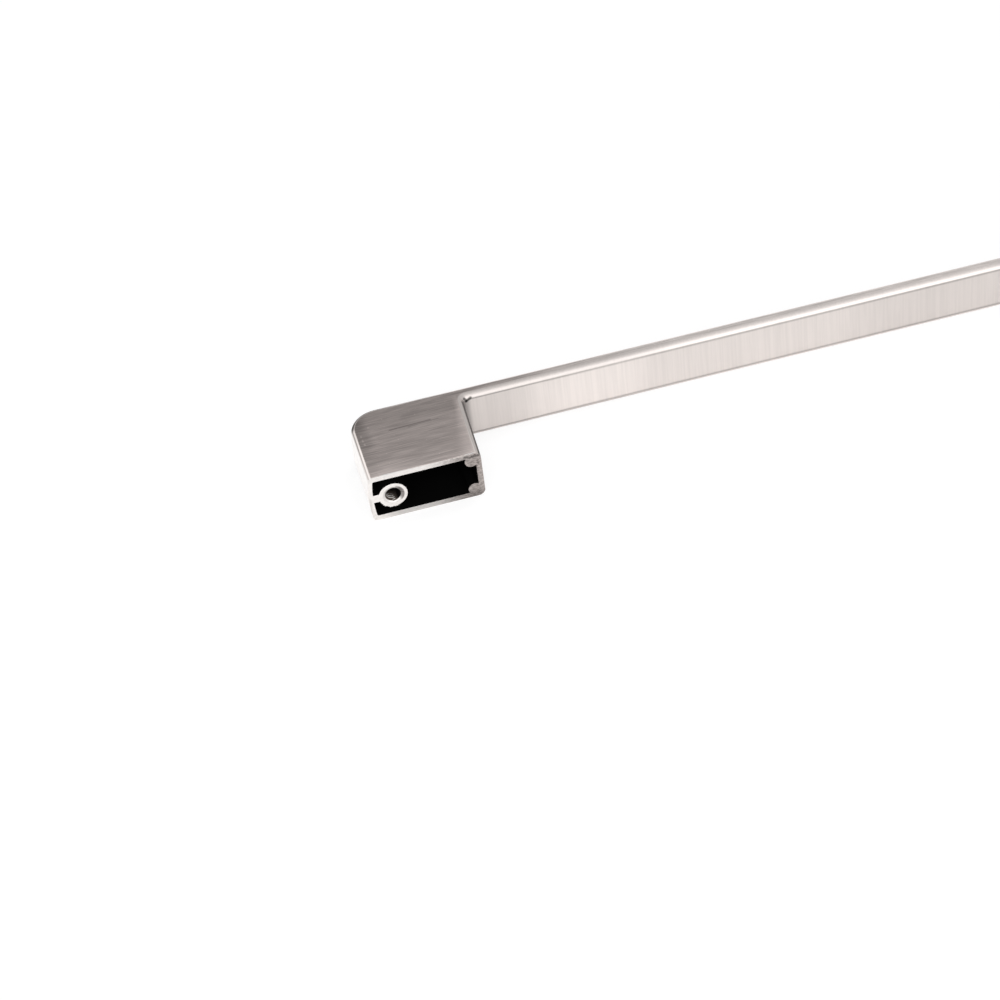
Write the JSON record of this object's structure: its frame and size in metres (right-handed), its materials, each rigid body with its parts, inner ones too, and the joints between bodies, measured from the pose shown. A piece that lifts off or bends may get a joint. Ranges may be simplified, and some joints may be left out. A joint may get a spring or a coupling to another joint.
{
  "type": "furniture handle",
  "caption": "Long flat bar handle for a drawer or cupboard door, with hollow feet that open at the mounting face and hold threaded screw bosses.",
  "frame": {"origin": "midway between the two screw holes, on the mounting face, half way across the width", "axes": "+X along the bar, +Y from the mounting face to the front of the bar, +Z across the width; the handle lies on its side"},
  "size_m": [0.2688, 0.0265, 0.0144],
  "materials": {
    "handle": "brushed nickel plate on a zinc die casting, with a plain ground mounting face"
  },
  "bodies": {
    "root": {"handle": "handle"}
  },
  "joints": []
}
